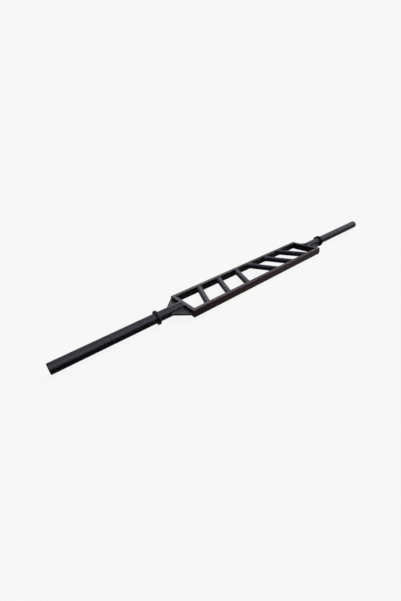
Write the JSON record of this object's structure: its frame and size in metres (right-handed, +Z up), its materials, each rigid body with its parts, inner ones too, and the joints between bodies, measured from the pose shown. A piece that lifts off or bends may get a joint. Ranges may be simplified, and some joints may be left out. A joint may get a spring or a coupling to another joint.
{
  "type": "swiss bar",
  "caption": "Multi-grip barbell: a flat welded steel frame with angled neutral grips, and a collared sleeve for weight discs at each end.",
  "frame": {"origin": "the bar's middle, on the axis of its sleeve tubes, which is the centre of its box", "axes": "+X along the bar to its right end, +Y to the rear rail, +Z up, square to the frame's plane"},
  "size_m": [2.26, 0.205, 0.072],
  "materials": {
    "frame_coat": "satin black powder coat",
    "grip_coat": "satin black powder coat",
    "sleeve_coat": "satin black powder coat",
    "collar_coat": "satin black powder coat",
    "gusset_coat": "satin black powder coat",
    "cap_plastic": "moulded matt black"
  },
  "bodies": {
    "root": {"rail_front": "frame_coat", "rail_rear": "frame_coat", "end_rail_left": "frame_coat", "end_rail_right": "frame_coat", "grip_left_outer": "grip_coat", "grip_left_middle": "grip_coat", "grip_left_inner": "grip_coat", "grip_right_inner": "grip_coat", "grip_right_middle": "grip_coat", "grip_right_outer": "grip_coat", "sleeve_tube_left": "sleeve_coat", "sleeve_tube_right": "sleeve_coat", "tube_seal_left": "sleeve_coat", "tube_seal_right": "sleeve_coat", "collar_left": "collar_coat", "collar_right": "collar_coat", "gusset_left_front": "gusset_coat", "gusset_left_rear": "gusset_coat", "gusset_right_front": "gusset_coat", "gusset_right_rear": "gusset_coat", "end_cap_left": "cap_plastic", "end_cap_right": "cap_plastic"}
  },
  "joints": []
}
